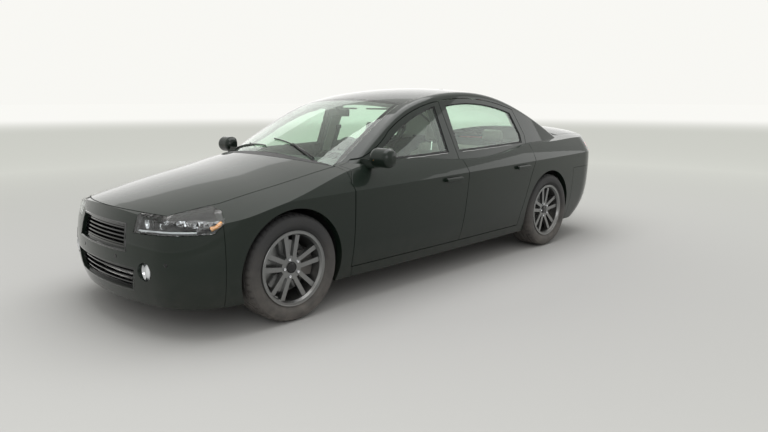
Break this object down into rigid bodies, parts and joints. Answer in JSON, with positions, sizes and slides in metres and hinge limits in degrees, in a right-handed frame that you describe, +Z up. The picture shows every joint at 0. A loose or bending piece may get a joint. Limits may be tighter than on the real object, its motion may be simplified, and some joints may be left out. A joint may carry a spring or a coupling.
{
  "type": "sedan car",
  "caption": "Four-door sedan car with opening doors, hood and trunk lid, steered front wheels, turning wheels and a fitted cabin.",
  "frame": {"origin": "on the ground under the middle of the car's bounding box", "axes": "+X is forwards, +Y is the car's left side, +Z is up"},
  "size_m": [4.899, 2.12, 1.4624],
  "materials": {
    "paint": "deep gloss",
    "glass": "clear",
    "tyre": "matt",
    "alloy": "satin",
    "trim": "grained",
    "grille": "gloss",
    "lamp": "clear",
    "lamp_red": "clear red",
    "seat": "soft",
    "steel": "satin",
    "iron": "cast"
  },
  "bodies": {
    "car_body": {"floor_pan": "paint", "body_side_left": "paint", "body_side_right": "paint", "roof_panel": "paint", "front_fenders": "paint", "front_bumper": "paint", "grilles": "grille", "headlamps": "lamp", "rear_bumper": "paint", "tail_lamps": "lamp_red", "windshield": "glass", "rear_window": "glass", "cowls": "trim", "dashboard": "trim", "steering_wheel": "trim", "front_seats": "seat", "rear_seat": "seat", "engine": "iron", "radiator": "steel", "front_subframe": "iron", "rear_axle": "iron", "wheel_liners": "trim", "exhaust": "steel"},
    "hood_body": {"hood": "paint"},
    "trunk_body": {"trunk_lid": "paint"},
    "front_door_left": {"door_front_left": "paint", "door_glass_front_left": "glass", "mirror_left": "paint"},
    "rear_door_left": {"door_rear_left": "paint", "door_glass_rear_left": "glass"},
    "steer_left": {"knuckle_left": "iron"},
    "wheel_front_left": {"tyre_front_left": "tyre", "rim_front_left": "alloy"},
    "wheel_rear_left": {"tyre_rear_left": "tyre", "rim_rear_left": "alloy"},
    "front_door_right": {"door_front_right": "paint", "door_glass_front_right": "glass", "mirror_right": "paint"},
    "rear_door_right": {"door_rear_right": "paint", "door_glass_rear_right": "glass"},
    "steer_right": {"knuckle_right": "iron"},
    "wheel_front_right": {"tyre_front_right": "tyre", "rim_front_right": "alloy"},
    "wheel_rear_right": {"tyre_rear_right": "tyre", "rim_rear_right": "alloy"}
  },
  "joints": [
    {"name": "hood_hinge", "type": "hinge", "parent": "car_body", "child": "hood_body", "pos_m": [1.132, 0, 0.921], "axis": [0, -1, 0], "range_deg": [0, 55]},
    {"name": "trunk_hinge", "type": "hinge", "parent": "car_body", "child": "trunk_body", "pos_m": [-1.83, 0, 1.088], "axis": [0, 1, 0], "range_deg": [0, 78]},
    {"name": "door_front_left_hinge", "type": "hinge", "parent": "car_body", "child": "front_door_left", "pos_m": [1.119, 0.921, 0.6], "axis": [0, 0, -1], "range_deg": [0, 68]},
    {"name": "door_rear_left_hinge", "type": "hinge", "parent": "car_body", "child": "rear_door_left", "pos_m": [-0.038, 0.93, 0.6], "axis": [0, 0, -1], "range_deg": [0, 68]},
    {"name": "steer_left_pivot", "type": "hinge", "parent": "car_body", "child": "steer_left", "pos_m": [1.608, 0.707, 0.339], "axis": [0, 0, 1], "range_deg": [-34, 34]},
    {"name": "wheel_front_left_spin", "type": "hinge", "parent": "steer_left", "child": "wheel_front_left", "pos_m": [1.608, 0.783, 0.339], "axis": [0, 1, 0], "continuous": true},
    {"name": "wheel_rear_left_spin", "type": "hinge", "parent": "car_body", "child": "wheel_rear_left", "pos_m": [-1.352, 0.783, 0.339], "axis": [0, 1, 0], "continuous": true},
    {"name": "door_front_right_hinge", "type": "hinge", "parent": "car_body", "child": "front_door_right", "pos_m": [1.119, -0.921, 0.6], "axis": [0, 0, 1], "range_deg": [0, 68]},
    {"name": "door_rear_right_hinge", "type": "hinge", "parent": "car_body", "child": "rear_door_right", "pos_m": [-0.038, -0.93, 0.6], "axis": [0, 0, 1], "range_deg": [0, 68]},
    {"name": "steer_right_pivot", "type": "hinge", "parent": "car_body", "child": "steer_right", "pos_m": [1.608, -0.707, 0.339], "axis": [0, 0, 1], "range_deg": [-34, 34]},
    {"name": "wheel_front_right_spin", "type": "hinge", "parent": "steer_right", "child": "wheel_front_right", "pos_m": [1.608, -0.783, 0.339], "axis": [0, 1, 0], "continuous": true},
    {"name": "wheel_rear_right_spin", "type": "hinge", "parent": "car_body", "child": "wheel_rear_right", "pos_m": [-1.352, -0.783, 0.339], "axis": [0, 1, 0], "continuous": true}
  ],
  "couplings": [
    {"joint": "steer_right_pivot", "follows": "steer_left_pivot", "ratio": 1}
  ]
}
